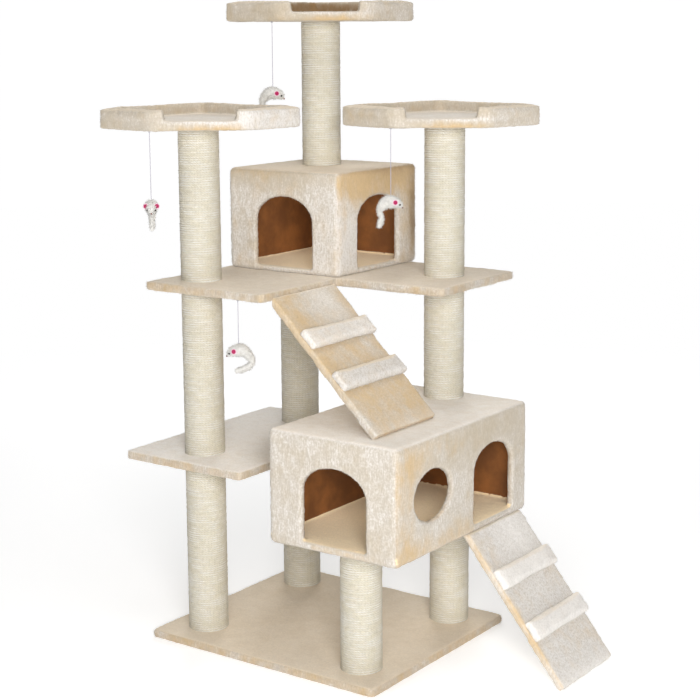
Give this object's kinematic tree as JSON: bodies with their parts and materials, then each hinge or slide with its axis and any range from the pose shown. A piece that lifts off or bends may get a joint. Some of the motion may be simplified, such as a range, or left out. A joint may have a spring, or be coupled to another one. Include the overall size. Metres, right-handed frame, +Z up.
{
  "type": "cat tree",
  "caption": "Tall plush-covered cat tree: rope-wrapped posts on a base board carry shelves, houses with arched doors, ramps and rimmed perches, with mouse toys on strings.",
  "frame": {"origin": "centre of the base board's underside, on the floor", "axes": "+Z up; -Y to the houses' front doors; +X to the houses' side doors and the feet of the ramps"},
  "size_m": [1.279, 0.8919, 1.83],
  "materials": {
    "tan_fur": "short plush pile glued over board, tan",
    "cream_fur": "short plush pile glued over board, cream with golden patches",
    "sisal": "natural sisal rope wound in tight turns",
    "cardboard": "plain spiral-wound tube",
    "steel": "zinc-plated",
    "white_cord": "thin twisted white cord",
    "white_plush": "fluffy white plush"
  },
  "bodies": {
    "tree": {"base_board": "tan_fur", "left_base_bolt": "steel", "front_base_bolt": "steel", "right_base_bolt": "steel", "back_base_bolt": "steel", "left_post_core_1": "cardboard", "left_post_core_2": "cardboard", "left_post_core_3": "cardboard", "back_post_core_1": "cardboard", "back_post_core_2": "cardboard", "front_post_core_1": "cardboard", "right_post_core_1": "cardboard", "right_post_core_2": "cardboard", "right_post_core_3": "cardboard", "top_post_core_1": "cardboard", "left_post_rope_1": "sisal", "left_post_rope_2": "sisal", "left_post_rope_3": "sisal", "back_post_rope_1": "sisal", "back_post_rope_2": "sisal", "front_post_rope_1": "sisal", "right_post_rope_1": "sisal", "right_post_rope_2": "sisal", "right_post_rope_3": "sisal", "top_post_rope_1": "sisal", "lower_shelf": "tan_fur", "mid_shelf": "tan_fur", "big_house_floor": "tan_fur", "big_house_roof": "tan_fur", "big_house_front_wall": "cream_fur", "big_house_back_wall": "cream_fur", "big_house_left_wall": "cream_fur", "big_house_right_wall": "cream_fur", "small_house_floor": "tan_fur", "small_house_roof": "tan_fur", "small_house_front_wall": "cream_fur", "small_house_back_wall": "cream_fur", "small_house_left_wall": "cream_fur", "small_house_right_wall": "cream_fur", "upper_ramp_board": "cream_fur", "upper_ramp_rung_1": "cream_fur", "upper_ramp_rung_2": "cream_fur", "lower_ramp_board": "cream_fur", "lower_ramp_rung_1": "cream_fur", "lower_ramp_rung_2": "cream_fur", "left_perch_seat": "tan_fur", "left_perch_rim": "cream_fur", "right_perch_seat": "tan_fur", "right_perch_rim": "cream_fur", "top_perch_seat": "tan_fur", "top_perch_rim": "cream_fur"},
    "left_toy": {"left_toy_string": "white_cord", "left_toy_mouse": "white_plush"},
    "right_toy": {"right_toy_string": "white_cord", "right_toy_mouse": "white_plush"},
    "top_toy": {"top_toy_string": "white_cord", "top_toy_mouse": "white_plush"},
    "shelf_toy": {"shelf_toy_string": "white_cord", "shelf_toy_mouse": "white_plush"}
  },
  "joints": [
    {"name": "left_toy_swing", "type": "hinge", "parent": "tree", "child": "left_toy", "pos_m": [-0.294, -0.406, 1.4834], "axis": [0, 1, 0], "range_deg": [-60, 60]},
    {"name": "right_toy_swing", "type": "hinge", "parent": "tree", "child": "right_toy", "pos_m": [0.193, 0.042, 1.4834], "axis": [0, 1, 0], "range_deg": [-60, 25]},
    {"name": "top_toy_swing", "type": "hinge", "parent": "tree", "child": "top_toy", "pos_m": [-0.231, 0.058, 1.775], "axis": [0, 1, 0], "range_deg": [-60, 60]},
    {"name": "shelf_toy_swing", "type": "hinge", "parent": "tree", "child": "shelf_toy", "pos_m": [-0.064, -0.322, 1.0294], "axis": [0, 1, 0], "range_deg": [-40, 45]}
  ]
}
